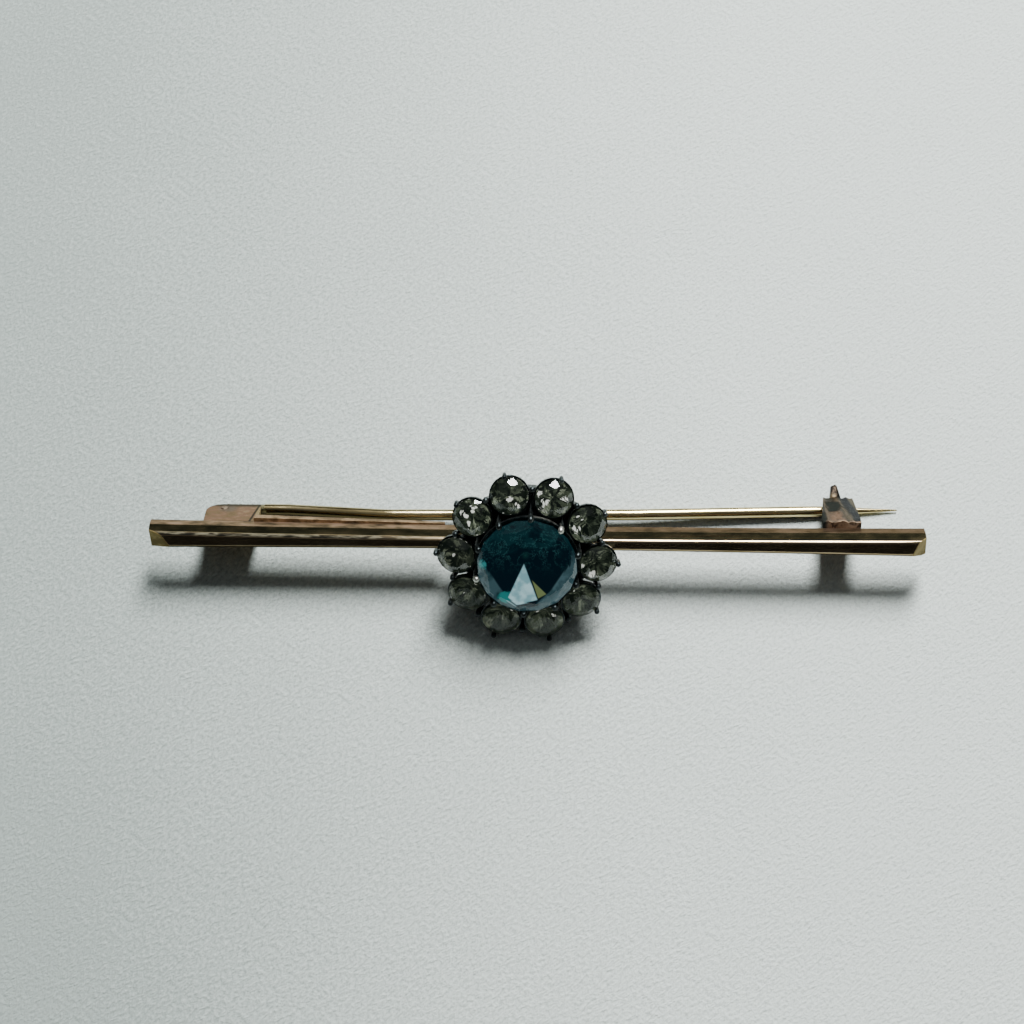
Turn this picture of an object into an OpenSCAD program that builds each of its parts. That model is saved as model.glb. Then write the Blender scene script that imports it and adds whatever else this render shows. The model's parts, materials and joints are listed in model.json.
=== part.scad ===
// Bar brooch with a round cluster: a blue stone in a ring of ten small ones.
// Millimetres. Each piece is drawn in the face frame (X along the bar towards the catch,
// Y up as worn, Z out of the face) and then laid down, resting on its pin and lowest claw.

/* [Bar] */
// Length of the bar from tip to tip
bar_length = 50.74; // [44:0.02:60]
// Depth of the bar from its front face to its back
bar_depth = 1.7; // [1.4:0.1:2]
// Height of the flat front face beside the cluster
face_mid = 0.68; // [0.5:0.02:0.9]
// Height of the flat front face at the tips
face_end = 1; // [0.7:0.05:1.2]
// How far the back stands above the front face, at the top and at the bottom
bevel_rise = 0.29; // [0.15:0.01:0.4]
// Depth of the straight side walls behind the bevels
side_depth = 0.8; // [0.5:0.05:1]

/* [Cluster] */
// Place of the cluster's centre along the bar
cluster_x = -0.7; // [-3:0.1:3]
// Diameter of the centre stone
centre_d = 6.45; // [6.3:0.05:6.5]
// Height of the centre stone's girdle above the bar's front face
centre_n = 3.25; // [3.2:0.05:3.4]
// Number of small stones
ring_count = 10; // [10:1:10]
// Radius of the ring of small stones
ring_r = 4.58; // [4.55:0.01:4.65]
// Diameter of each small stone
small_d = 2.46; // [2.2:0.02:2.5]
// Height of the small stones' girdles above the bar's front face
small_n = 2.25; // [2.2:0.05:2.4]
// Outward lean of each small stone in degrees
small_lean = 14; // [8:1:16]
// Turn of the centre stone in degrees
centre_turn = 15; // [-22:0.5:22]
// Turn of the whole ring in degrees
ring_turn = -3; // [-18:1:18]

/* [Hinge] */
// Place of the rivet along the bar
rivet_x = -20.8; // [-21.5:0.1:-18]
// Distance of the rivet behind the bar's front face
rivet_n = 4.2; // [4:0.1:4.4]
// Diameter of the rivet
rivet_d = 0.5; // [0.4:0.05:0.6]
// Height of the hinge over both ears
hinge_h = 1.1; // [1:0.05:1.3]
// Width of the slot between the ears
slot_h = 0.5; // [0.4:0.05:0.6]
// Distance of the ears' back edge behind the bar's front face
ear_back_n = 4.8; // [4.7:0.05:5]

/* [Pin] */
// Diameter of the pin's wire
wire_d = 0.76; // [0.6:0.02:0.8]
// Radius of the flattened eye round the rivet
eye_r = 1.22; // [1:0.02:1.25]
// Place of the point along the bar
tip_x = 24.1; // [22.5:0.05:24.5]

/* [Catch] */
// Place of the catch's middle along the bar
catch_x = 19.95; // [18.5:0.05:21]
// Width of the catch along the bar
catch_w = 2.5; // [2:0.05:3]
// Thickness of the catch's sheet
sheet = 0.3; // [0.25:0.05:0.4]

/* [Hidden] */

$fn = 48;
// Gap at a soldered seam, and the gap round a stone
seam = 0.02;
stone_gap = 0.05;

// Bar: each end is a plane x = face_x + lean_u * y + lean_n * z, and a facet is cut off the left one
half_length = bar_length / 2;
left_end = [-half_length + 0.04, -0.05, 0];
left_facet = [-half_length + 1.05, -0.65, 0.8];
right_end = [half_length - 0.56, 0.17, -0.25];
bar_back_n = bar_depth + seam;
bar_steps = 12;

function face_h(x) = face_mid + (face_end - face_mid) * pow((x - cluster_x) / half_length, 2);
function back_h(x) = face_h(x) + 2 * bevel_rise;

// Corners of the bar's section at x, as [height, distance out of the face]
function bar_section(x) = [
    [back_h(x) / 2, -bar_depth],
    [back_h(x) / 2, side_depth - bar_depth],
    [face_h(x) / 2, 0],
    [-face_h(x) / 2, 0],
    [-back_h(x) / 2, side_depth - bar_depth],
    [-back_h(x) / 2, -bar_depth]];
section_count = 6;

function bar_station(i) =
    let (t = i / bar_steps, plane = i == 0 ? left_end : right_end)
    let (x = left_end[0] + (right_end[0] - left_end[0]) * t)
    let (sloped = i == 0 || i == bar_steps)
    [for (p = bar_section(x))
        [x + (sloped ? plane[1] * p[0] + plane[2] * p[1] : 0), p[0], p[1]]];

// Stones: crown and pavilion of a round cut, with its table, stars, kites and halves
centre_cut = [0.8, 0.91, 0.06, 0.43, 0.76];
small_cut = [0.58, 0.8, 0.155, 0.42, 0.7];
girdle_t = 0.025;
// Turn of each small stone in its cup, as it happened to be set
stone_turns = [6, 15, 18, 19, 8, 17, 4, 30, 12, 35];
facets = 8;

// Height of the point where a cut's lower halves meet its mains, from the girdle
function halves_z(d, cut) =
    -d * cut[3] - (girdle_t - d * cut[3]) * cut[4] * cos(180 / facets);
function halves_r(d, cut) = d / 2 * cut[4];
// Inside of a stone's seat, as [radius, height from the girdle], down to the bore's radius
function seat_line(d, cut, rim_z, bore_r) =
    let (r = halves_r(d, cut), z = halves_z(d, cut))
    let (gap_r = r + stone_gap + 0.03, slope = (z + d * cut[3]) / r)
    let (rim_r = d / 2 + (d / 2 - r) * rim_z / -z + stone_gap + 0.06)
    [[rim_r, rim_z], [gap_r, z], [bore_r, z - (gap_r - bore_r) * slope]];

// Cups and claws
claw_r = 0.13;
claw_ball_r = 0.18;
claw_fn = 6;
bead_fn = 8;
cup_fn = 24;
claw_reach = small_d / 2 + stone_gap;
claw_ball_z = 0.26;
claw_shaft_r = small_d / 2 + stone_gap + claw_r;
cup_floor_n = 0.45;
gap_claw_r = 4.98;
gap_foot_r = 4.1;
cup_foot_r = 0.6;
plate_r = 4.3;
centre_claw_r = centre_d / 2 + stone_gap + 0.17;

function stone_angle(i) = ring_turn + i * 360 / ring_count;

// Pin: a flat eye and shank, then round wire in runs of [length, bend after it, bend radius],
// where a bend above zero turns towards the bar. The whole wire rises a little to the catch
eye_t = slot_h - 0.08;
wire_r = wire_d / 2;
shank_n = rivet_n + 1;
shank_end_x = rivet_x + 2.7;
rise_slope = 0.33;
wire_runs = [
    [1.2, 6.5, 8],
    [5.6, -7.5, 8],
    [15.4, -2.5, 20]];
wire_start = [shank_end_x - 0.15, -shank_n, 0];
taper_l = 3.1;
needle_r = 0.2;
point_r = 0.05;

// Place and heading after one run of the wire, as [x, out of the face, heading]
function after_run(at, run) =
    let (heading = at[2], bend = run[1], k = run[2] * sign(run[1]))
    [at[0] + run[0] * cos(heading) + k * (sin(heading + bend) - sin(heading)),
        at[1] + run[0] * sin(heading) - k * (cos(heading + bend) - cos(heading)),
        heading + bend];
function wire_at(i) = i == 0 ? wire_start : after_run(wire_at(i - 1), wire_runs[i - 1]);
stem_at = wire_at(len(wire_runs));
stem_reach = (tip_x - stem_at[0]) / cos(stem_at[2]);
needle_l = 2.45;
function stem_n(x) = -stem_at[1] - (x - stem_at[0]) * tan(stem_at[2]);

// Rings of the bent part of the wire, which ends inside the straight stem
bent_sides = 12;
bent_r = wire_r - 0.006;
bend_parts = 3;
bent_path = concat(
    [wire_start],
    [for (i = [0:len(wire_runs) - 1], j = [0:bend_parts])
        after_run(wire_at(i), [wire_runs[i][0], wire_runs[i][1] * j / bend_parts, wire_runs[i][2]])],
    [after_run(stem_at, [0.3, 0, 1])]);
function ring_point(at, angle) = [
    at[0] - bent_r * cos(angle) * sin(at[2]),
    bent_r * sin(angle),
    at[1] + bent_r * cos(angle) * cos(at[2])];

// Catch: a strip that runs back over the pin, with a lip and a narrow tongue. The lip ends
// above the pin, which swings out backwards below it
pin_top_at_catch = (catch_x - rivet_x) * tan(rise_slope) + wire_r;
lip_drop = 0.12;
lip_r = sheet + lip_drop;
roof_under = pin_top_at_catch + 0.05 + lip_drop;
roof_back_n = stem_n(catch_x) + 0.1;
tongue_w = 0.7;
tongue_x = catch_x;
tongue_l = 0.95;
tongue_rise = 48;
tongue_root = [roof_back_n + lip_r - 0.25, roof_under + 0.1];
tongue_top = [tongue_root[0] + tongue_l * cos(tongue_rise), tongue_root[1] + tongue_l * sin(tongue_rise)];

// Lie: the brooch rests on the wire beside its hinge and on the neck of the lowest outer claw
claw_neck_z = -0.25;
low_claw_angle = stone_angle(8);
low_claw = [
    small_n - claw_shaft_r * sin(small_lean) + claw_neck_z * cos(small_lean),
    (ring_r + claw_shaft_r * cos(small_lean) + claw_neck_z * sin(small_lean)) * sin(low_claw_angle)];
low_wire = [-shank_n, 0];
reach = low_claw - low_wire;
lie_angle = atan2(-reach[1], reach[0]) - asin((wire_r - claw_r) / norm(reach));
rest_z = -(low_wire[0] * sin(lie_angle) + low_wire[1] * cos(lie_angle)) + wire_r;

// Front and back of the laid brooch, whose middle is at y = 0
function laid_y(n, u) = u * sin(lie_angle) - n * cos(lie_angle);
front_y = laid_y(low_claw[0] + 0.5, low_claw[1] - 0.05) - claw_ball_r;
back_y = laid_y(-tongue_top[0], tongue_top[1]);
mid_y = (front_y + back_y) / 2;

module laid() {
    translate([0, -mid_y, rest_z])
        rotate([90 - lie_angle, 0, 0])
            children();
}

// The frame of one small stone, with Z along its axis
module at_stone(i) {
    translate([cluster_x, 0, 0])
        rotate([0, 0, stone_angle(i)])
            translate([ring_r, 0, small_n])
                rotate([0, small_lean, 0])
                    children();
}

// The frame of one gap between two small stones, at a radius from the cluster's centre
module at_gap(i, radius) {
    translate([cluster_x, 0, 0])
        rotate([0, 0, stone_angle(i + 0.5)])
            translate([radius, 0, 0])
                children();
}

// A round cut with its girdle at z = 0 and its table up. The cut gives, as shares of the
// diameter's own size: table width, star radius, crown height, pavilion depth, half radius
module cut_stone(d, cut) {
    r = d / 2;
    table_r = r * cut[0];
    crown_z = girdle_t + d * cut[2];
    star_r = r * cut[1];
    culet_z = -d * cut[3];
    half_r = halves_r(d, cut);
    step = 360 / facets;
    slope_up = (crown_z - girdle_t) / (r - table_r);
    star_z = girdle_t + slope_up * (r - star_r * cos(step / 2));
    half_z = halves_z(d, cut);
    points = concat(
        [for (i = [0:facets - 1]) [table_r * cos(i * step), table_r * sin(i * step), crown_z]],
        [for (i = [0:facets - 1]) [star_r * cos((i + 0.5) * step), star_r * sin((i + 0.5) * step), star_z]],
        [for (i = [0:2 * facets - 1]) [r * cos(i * step / 2), r * sin(i * step / 2), girdle_t]],
        [for (i = [0:2 * facets - 1]) [r * cos(i * step / 2), r * sin(i * step / 2), -girdle_t]],
        [for (i = [0:facets - 1]) [half_r * cos((i + 0.5) * step), half_r * sin((i + 0.5) * step), half_z]],
        [[0, 0, culet_z]]);
    star = facets;
    upper = 2 * facets;
    lower = 4 * facets;
    halves = 6 * facets;
    culet = 7 * facets;
    faces = concat(
        [[for (i = [facets - 1:-1:0]) i]],
        [for (i = [0:facets - 1]) [i, (i + 1) % facets, star + i]],
        [for (i = [0:facets - 1]) [i, star + i, upper + 2 * i]],
        [for (i = [0:facets - 1]) [i, upper + 2 * i, star + (i + facets - 1) % facets]],
        [for (i = [0:facets - 1]) [star + i, upper + 2 * i + 1, upper + 2 * i]],
        [for (i = [0:facets - 1]) [star + i, upper + (2 * i + 2) % (2 * facets), upper + 2 * i + 1]],
        [for (i = [0:2 * facets - 1])
            [upper + i, upper + (i + 1) % (2 * facets), lower + (i + 1) % (2 * facets), lower + i]],
        [for (i = [0:facets - 1]) [lower + 2 * i, lower + 2 * i + 1, halves + i]],
        [for (i = [0:facets - 1]) [lower + 2 * i + 1, lower + (2 * i + 2) % (2 * facets), halves + i]],
        [for (i = [0:facets - 1]) [lower + 2 * i, halves + i, culet]],
        [for (i = [0:facets - 1]) [lower + 2 * i, culet, halves + (i + facets - 1) % facets]]);
    polyhedron(points = points, faces = faces, convexity = 4);
}

module bar() {
    points = [for (i = [0:bar_steps], p = bar_station(i)) p];
    last = bar_steps * section_count;
    sides = [for (i = [0:bar_steps - 1], k = [0:section_count - 1])
        let (a = i * section_count + k, b = i * section_count + (k + 1) % section_count)
        [a, a + section_count, b + section_count, b]];
    faces = concat(
        sides,
        [[for (k = [0:section_count - 1]) k]],
        [[for (k = [section_count - 1:-1:0]) last + k]]);
    color("#8a7048") laid()
        difference() {
            polyhedron(points = points, faces = faces, convexity = 4);
            beyond(left_facet);
        }
}

// A block that fills the left side of a plane x = face_x + lean_u * y + lean_n * z
module beyond(plane) {
    side = 8;
    heading = [1, -plane[1], -plane[2]];
    translate([plane[0], 0, 0])
        rotate([0, acos(heading[2] / norm(heading)), atan2(heading[1], heading[0])])
            translate([0, 0, -side / 2])
                cube(side, center = true);
}

// Seat of the centre stone: a tube that opens into a cone under the girdle
module centre_cup() {
    rim_z = -0.2;
    tube_r = 2.35;
    wall = 0.25;
    rim_r = centre_d / 2 + 0.12;
    shoulder_n = 1.9;
    inside = seat_line(centre_d, centre_cut, rim_z, tube_r - wall);
    translate([cluster_x, 0, centre_n])
        rotate_extrude($fn = 2 * cup_fn)
            polygon(concat(
                [[tube_r - wall, 0.1 - centre_n], [tube_r, 0.1 - centre_n], [tube_r, shoulder_n - centre_n],
                    [rim_r, rim_z - 0.25], [rim_r, rim_z]],
                inside));
}

// Seat of one small stone, drawn in the stone's own frame
module small_cup() {
    r = small_d / 2;
    rim_z = -0.12;
    bore_r = 0.45;
    foot_z = -(small_n - 0.3) / cos(small_lean);
    waist_r = 0.86;
    inside = seat_line(small_d, small_cut, rim_z, bore_r);
    rotate_extrude($fn = cup_fn)
        polygon(concat(
            [[bore_r, foot_z], [cup_foot_r, foot_z], [waist_r, -1], [r + 0.1, -0.34], [r + 0.1, rim_z]],
            inside));
}

// A claw that stands from a foot to its neck and ends in a bead
module claw(foot, neck, bead, r, bead_r) {
    hull() {
        translate(foot) cylinder(h = 0.1, r = r, $fn = claw_fn);
        translate(neck) cylinder(h = 0.05, r = r, $fn = claw_fn);
    }
    hull() {
        translate(neck) cylinder(h = 0.05, r = r, $fn = claw_fn);
        translate(bead) sphere(r = bead_r, $fn = bead_fn);
    }
}

module small_claw() {
    claw([0.72, 0, -1.2], [claw_shaft_r, 0, claw_neck_z], [claw_reach, 0, claw_ball_z], claw_r, claw_ball_r);
}

module gap_claw() {
    claw([gap_foot_r - gap_claw_r, 0, 0.1], [0, 0, small_n], [-0.03, 0, small_n + 0.17], 0.17, 0.21);
}

module centre_claw() {
    claw([-0.25, 0, 0.1], [0, 0, centre_n - 0.1], [-0.1, 0, centre_n + 0.28], 0.17, 0.22);
}

// Back plate with a round window behind the centre stone and a small one behind each ring stone
module back_plate() {
    window_at = ring_r - (small_n - 0.2) * tan(small_lean);
    translate([cluster_x, 0, seam])
        linear_extrude(cup_floor_n - seam)
            difference() {
                circle(r = plate_r);
                circle(r = 2.15);
                for (i = [0:ring_count - 1])
                    rotate(stone_angle(i))
                        translate([window_at, 0])
                            circle(r = 0.42, $fn = cup_fn / 2);
            }
}

module setting() {
    color("#3a3f40") laid() union() {
        back_plate();
        centre_cup();
        for (i = [0:ring_count - 1]) {
            at_stone(i) small_cup();
            at_stone(i) small_claw();
            at_gap(i, gap_claw_r) gap_claw();
            at_gap(i, centre_claw_r) centre_claw();
        }
    }
}

// Base and two ears, a stop block at the right and a tapered tail along the bar's back
module hinge() {
    left_x = rivet_x - eye_r + 0.02;
    block_x = rivet_x + eye_r + 0.25;
    right_x = block_x + 0.9;
    base_n = bar_back_n + 0.45;
    tail_x = cluster_x - 5.4;
    color("#a08a62") laid()
        difference() {
            union() {
                ear_stack(left_x, right_x);
                tail(right_x, tail_x);
            }
            slot(left_x, block_x, base_n);
            rivet_hole(rivet_d / 2 + 0.01);
        }
}

// Outline of the ears seen from above, extruded over the whole height of the hinge
module ear_stack(left_x, right_x) {
    corner = 1.1;
    rotate([-90, 0, 0])
        translate([0, 0, -hinge_h / 2])
            linear_extrude(hinge_h)
                union() {
                    translate([left_x, bar_back_n])
                        square([right_x - left_x, ear_back_n - corner - bar_back_n]);
                    translate([left_x + corner, bar_back_n])
                        square([right_x - left_x - corner, ear_back_n - bar_back_n]);
                    translate([left_x + corner, ear_back_n - corner])
                        circle(r = corner);
                }
}

module tail(start_x, end_x) {
    deep_n = bar_back_n + 0.5;
    thin_n = bar_back_n + 0.3;
    tail_h = hinge_h + 0.1;
    rotate([-90, 0, 0])
        translate([0, 0, -tail_h / 2])
            linear_extrude(tail_h)
                polygon([[start_x - 0.2, bar_back_n], [end_x, bar_back_n],
                    [end_x, thin_n], [start_x - 0.2, deep_n]]);
}

module slot(left_x, block_x, base_n) {
    translate([left_x - 1, -slot_h / 2, -ear_back_n - 1])
        cube([block_x - left_x + 1, slot_h, ear_back_n + 1 - base_n]);
}

module rivet_hole(r) {
    translate([rivet_x, 0, -rivet_n])
        rotate([90, 0, 0])
            cylinder(h = hinge_h + 1, r = r, center = true);
}

module rivet() {
    color("#7d6843") laid()
        translate([rivet_x, 0, -rivet_n])
            rotate([90, 0, 0])
                cylinder(h = hinge_h + 0.08, r = rivet_d / 2, center = true);
}

// A strip bent over the pin, cut to a trapezium that narrows away from the bar
module catch() {
    half_w = catch_w / 2;
    top_left = 0.5 - half_w;
    top_right = half_w - 0.18;
    color("#a08a62") laid()
        union() {
            intersection() {
                strip(catch_w + 1);
                rotate([-90, 0, 0])
                    translate([catch_x, 0, -2])
                        linear_extrude(4)
                            polygon([[-half_w, 0], [half_w, 0], [half_w, bar_back_n + 0.8],
                                [top_right, roof_back_n + 1], [top_left, roof_back_n + 1],
                                [-half_w, bar_back_n + 0.8]]);
            }
            tongue();
        }
}

// Narrow end of the strip, bent up behind the lip
module tongue() {
    translate([tongue_x - tongue_w / 2, tongue_root[1], -tongue_root[0]])
        rotate([tongue_rise - 180, 0, 0])
            translate([0, -sheet / 2, 0])
                cube([tongue_w, sheet, tongue_l]);
}

module strip(width) {
    top = roof_under + sheet;
    translate([catch_x - width / 2, 0, 0])
        rotate([90, 0, 90])
            linear_extrude(width) {
                translate([roof_under, -roof_back_n])
                    square([sheet, roof_back_n - bar_back_n]);
                translate([-0.55, -bar_back_n - sheet])
                    square([top + 0.55, sheet]);
                translate([top - lip_r, -roof_back_n])
                    intersection() {
                        difference() {
                            circle(r = lip_r);
                            circle(r = lip_r - sheet);
                        }
                        translate([0, -lip_r])
                            square(lip_r);
                    }
            }
}

module pin() {
    color("#b99a5c") laid()
        difference() {
            union() {
                translate([rivet_x, 0, -rivet_n])
                    rotate([90, 0, 0])
                        cylinder(h = eye_t, r = eye_r, center = true);
                translate([rivet_x, -eye_t / 2, -shank_n - wire_r])
                    cube([shank_end_x - rivet_x, eye_t, wire_d]);
                translate([0, -shank_end_x * sin(rise_slope), 0]) stem();
            }
            rivet_hole(rivet_d / 2 + 0.03);
        }
}

// The frame of the wire at one place on it, with X along the wire
module along_wire(at) {
    translate([at[0], 0, at[1]])
        rotate([0, -at[2], 0])
            children();
}

// A rod that starts at a distance along X
module rod(start, length, r1, r2) {
    translate([start, 0, 0])
        rotate([0, 90, 0])
            cylinder(h = length, r1 = r1, r2 = r2);
}

// The bent part of the wire, from the flat shank to the straight stem
module bent_wire() {
    rings = len(bent_path);
    points = [for (at = bent_path, k = [0:bent_sides - 1]) ring_point(at, k * 360 / bent_sides)];
    sides = [for (i = [0:rings - 2], k = [0:bent_sides - 1])
        let (a = i * bent_sides + k, b = i * bent_sides + (k + 1) % bent_sides)
        [a, b, b + bent_sides, a + bent_sides]];
    faces = concat(
        sides,
        [[for (k = [bent_sides - 1:-1:0]) k]],
        [[for (k = [0:bent_sides - 1]) (rings - 1) * bent_sides + k]]);
    polyhedron(points = points, faces = faces, convexity = 4);
}

module stem() {
    needle_start = stem_reach - needle_l;
    taper_start = needle_start - taper_l;
    rotate([0, 0, rise_slope]) {
        bent_wire();
        along_wire(stem_at) {
            rod(0, taper_start, wire_r, wire_r);
            rod(taper_start, taper_l, wire_r, needle_r);
            rod(needle_start, needle_l, needle_r, point_r);
        }
    }
}

module centre_stone() {
    color("#2d6d7c") laid()
        translate([cluster_x, 0, centre_n])
            rotate([0, 0, centre_turn])
                cut_stone(centre_d, centre_cut);
}

module small_stone(i) {
    color("#c9cfce") laid()
        at_stone(i)
            rotate([0, 0, stone_turns[i]])
                cut_stone(small_d, small_cut);
}

bar();
setting();
hinge();
rivet();
catch();
pin();
centre_stone();
for (i = [1:ring_count])
    small_stone(i - 1);
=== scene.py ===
"""A bar brooch that lies on a pale card: a rosy gold bar with a blue stone in a ring of small clear
stones, a wire pin on a riveted hinge at its left and an open catch at its right."""

import json
from math import cos, floor, pi, radians, sin

import bmesh
import bpy
from mathutils import Matrix, Vector


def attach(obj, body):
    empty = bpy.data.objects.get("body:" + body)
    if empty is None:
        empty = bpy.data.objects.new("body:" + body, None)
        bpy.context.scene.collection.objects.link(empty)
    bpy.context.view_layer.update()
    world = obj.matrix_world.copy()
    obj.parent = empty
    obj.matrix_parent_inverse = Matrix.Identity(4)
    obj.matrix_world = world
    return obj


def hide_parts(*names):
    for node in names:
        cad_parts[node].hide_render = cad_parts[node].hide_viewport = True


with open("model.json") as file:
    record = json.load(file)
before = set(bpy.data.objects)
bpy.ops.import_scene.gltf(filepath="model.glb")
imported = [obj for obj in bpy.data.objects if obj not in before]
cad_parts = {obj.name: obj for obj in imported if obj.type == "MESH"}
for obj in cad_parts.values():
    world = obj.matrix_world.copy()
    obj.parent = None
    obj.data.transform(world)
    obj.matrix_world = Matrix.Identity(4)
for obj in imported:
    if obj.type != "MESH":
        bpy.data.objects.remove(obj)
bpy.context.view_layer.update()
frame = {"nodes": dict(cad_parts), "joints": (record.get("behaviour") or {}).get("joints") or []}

# The brooch's own frame as it is worn, in millimetres: X along the bar, U up and N out of its face.
# The hinge's axis points along U. Its rivet is left of and behind the middle of the bar's face.
MM = 0.001
rivet_left, rivet_behind = 20.8, 4.2
hinge_joint = frame["joints"][0]
along = Vector((1, 0, 0))
up = Vector(hinge_joint["axis"]).normalized()
out = along.cross(up)
turn = Matrix((along, up, out)).transposed()
face_middle = Vector(hinge_joint["pos_m"]) + turn @ Vector((rivet_left, 0, rivet_behind)) * MM
laid = Matrix.Translation(face_middle) @ turn.to_4x4() @ Matrix.Scale(MM, 4)


# Camera: above the card and in front of the brooch, as far off as a hand held telephone.
class View:
    height = radians(61.7)
    distance = 0.17343
    field = radians(22.4)
    aim = Vector((-0.00171, 0.00399, 0.00005))
    roll = radians(0.70)
    nearest, farthest = 0.01, 20


def add(name, data):
    """Adds an object to the scene."""
    thing = bpy.data.objects.new(name, data)
    bpy.context.scene.collection.objects.link(thing)
    return thing


camera = add("camera", bpy.data.cameras.new("camera"))
camera.data.angle = View.field
camera.data.clip_start, camera.data.clip_end = View.nearest, View.farthest
camera.location = View.aim + Vector((0, -cos(View.height), sin(View.height))) * View.distance
camera.rotation_euler = (
    Matrix.Rotation(pi / 2 - View.height, 4, "X") @ Matrix.Rotation(View.roll, 4, "Z")).to_euler()
bpy.context.scene.camera = camera


# Card: a matt white sheet with a faint tooth, on which the brooch lies. Painted shade greys it to
# the left, where the lamp's light falls off, and again in its near left corner. The grain of its
# tooth runs slantwise.
class Card:
    # Half its side in metres, and the turn of its grain
    half_side, grain = 3.0, radians(52)
    # Fades of the painted shade in millimetres from the middle: from grey to white across the card, and
    # of the corner
    greying, corner_across, corner_nearby = (-45, 24), (-30, 0), (5, 30)
    grey, white = (0.435, 0.505, 0.48), (0.91, 0.995, 0.955)


class Value:
    """A socket's output, so that arithmetic on it adds Math nodes to its material."""

    def __init__(self, finish, socket):
        self.finish, self.socket = finish, socket

    def maths(self, operation, *others):
        """Adds a Math node for an operation on values and numbers."""
        return self.finish.node("ShaderNodeMath", {"operation": operation}, dict(enumerate(others)))

    def __add__(self, other):
        return self.maths("ADD", self, other)

    def __radd__(self, other):
        return self.maths("ADD", other, self)

    def __sub__(self, other):
        return self.maths("SUBTRACT", self, other)

    def __rsub__(self, other):
        return self.maths("SUBTRACT", other, self)

    def __mul__(self, other):
        return self.maths("MULTIPLY", self, other)

    def __rmul__(self, other):
        return self.maths("MULTIPLY", other, self)

    def __truediv__(self, other):
        return self.maths("DIVIDE", self, other)

    def __pow__(self, other):
        return self.maths("POWER", self, other)

    def __neg__(self):
        return self.maths("MULTIPLY", self, -1)

    def __abs__(self):
        return self.maths("ABSOLUTE", self)

    def __floor__(self):
        return self.maths("FLOOR", self)

    def larger(self, other):
        """The larger one of two values at each place."""
        return self.maths("MAXIMUM", self, other)

    def bearing(self, across):
        """The angle at which a place lies that is this far up and so far across."""
        return self.maths("ARCTAN2", self, across)

    def clipped(self, low, high):
        """0 below low and 1 above high, with a smooth step between."""
        return self.finish.node(
            "ShaderNodeMapRange", {"interpolation_type": "SMOOTHSTEP"},
            {"Value": self, "From Min": low, "From Max": high, "To Min": 0, "To Max": 1})


class Finish:
    """A surface finish. Its place is in millimetres in the worn frame, or in the frame held."""

    def __init__(self, name, world=None, held=laid):
        if world:
            self.tree = world.node_tree
            self.surface = self.tree.nodes["Background"]
            return
        self.material = bpy.data.materials.new(name)
        self.material.use_nodes = True
        self.tree = self.material.node_tree
        self.surface = self.tree.nodes["Principled BSDF"]
        position = self.node("ShaderNodeTexCoord", {}, {}, "Object")
        back = held.inverted()
        self.place = self.node(
            "ShaderNodeMapping", {},
            {"Vector": position, "Location": back.to_translation(), "Rotation": back.to_euler(),
             "Scale": back.to_scale()})
        self.x, self.u, self.n = self.parts(self.place)

    def fill(self, socket, value):
        """Links a value to a socket, or sets the socket to a number, a vector or a colour."""
        if isinstance(value, Value):
            self.tree.links.new(value.socket, socket)
        elif isinstance(value, tuple) and socket.type == "RGBA":
            socket.default_value = (*value, 1)
        else:
            socket.default_value = value

    def node(self, kind, settings, values, output=0):
        """Adds a node, sets it and its sockets, and returns one output, or the node itself."""
        made = self.tree.nodes.new(kind)
        for name, setting in settings.items():
            if name == "stops":
                ramp = made.color_ramp.elements
                while len(ramp) < len(setting):
                    ramp.new(0.5)
                for stop, (where, colour) in zip(ramp, setting):
                    stop.position = where
                    stop.color = (*colour, 1)
            else:
                setattr(made, name, setting)
        for name, value in values.items():
            self.fill(made.inputs[name], value)
        return made if output is None else Value(self, made.outputs[output])

    def parts(self, vector):
        """The three parts of a vector."""
        split = self.node("ShaderNodeSeparateXYZ", {}, {"Vector": vector}, None)
        return [Value(self, output) for output in split.outputs]

    def noise(self, size, detail=3, stretch=(1, 1, 1), rough=0.55):
        """Clouded noise between 0 and 1 whose patches are about size millimetres across."""
        where = self.node("ShaderNodeVectorMath", {"operation": "MULTIPLY"}, {0: self.place, 1: stretch})
        return self.node(
            "ShaderNodeTexNoise", {},
            {"Vector": where, "Scale": 1 / size, "Detail": detail, "Roughness": rough}, "Fac")

    def mix(self, share, first, second):
        """A colour between two colours."""
        return self.node(
            "ShaderNodeMix", {"data_type": "RGBA"}, {0: share, 6: first, 7: second}, 2)

    def ramp(self, value, stops):
        """A colour that runs through stops, each a value and its colour."""
        return self.node("ShaderNodeValToRGB", {"stops": stops}, {"Fac": value}, "Color")

    def spot(self, x, y, centre, radius, soft=0.5):
        """1 round a place on two coordinates, fading to 0 over the outer part of its radius."""
        dx, dy = x - centre[0], y - centre[1]
        far = (dx * dx + dy * dy) ** 0.5
        return 1 - far.clipped(radius * (1 - soft), radius)

    def patch(self, x, y, corners, soft):
        """1 inside a convex outline given anticlockwise on two coordinates, 0 outside it."""
        inside = None
        for (ax, ay), (bx, by) in zip(corners, corners[1:] + corners[:1]):
            run = Vector((bx - ax, by - ay)).normalized()
            beyond = (y - ay) * run.x - (x - ax) * run.y
            side = beyond.clipped(-soft, soft)
            inside = side if inside is None else inside * side
        return inside

    def bump(self, height, depth, strength=1.0):
        """A normal from a height between 0 and 1 that stands for depth millimetres."""
        return self.node(
            "ShaderNodeBump", {}, {"Height": height, "Distance": depth * MM, "Strength": strength})

    def set(self, **sockets):
        """Fills sockets of the surface's shader, whose names have _ for each space."""
        for name, value in sockets.items():
            self.fill(self.surface.inputs[name.replace("_", " ")], value)


def mesh_of(name, work):
    """Makes a mesh of a bmesh and lets the bmesh go."""
    mesh = bpy.data.meshes.new(name)
    work.to_mesh(mesh)
    work.free()
    return mesh


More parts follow.
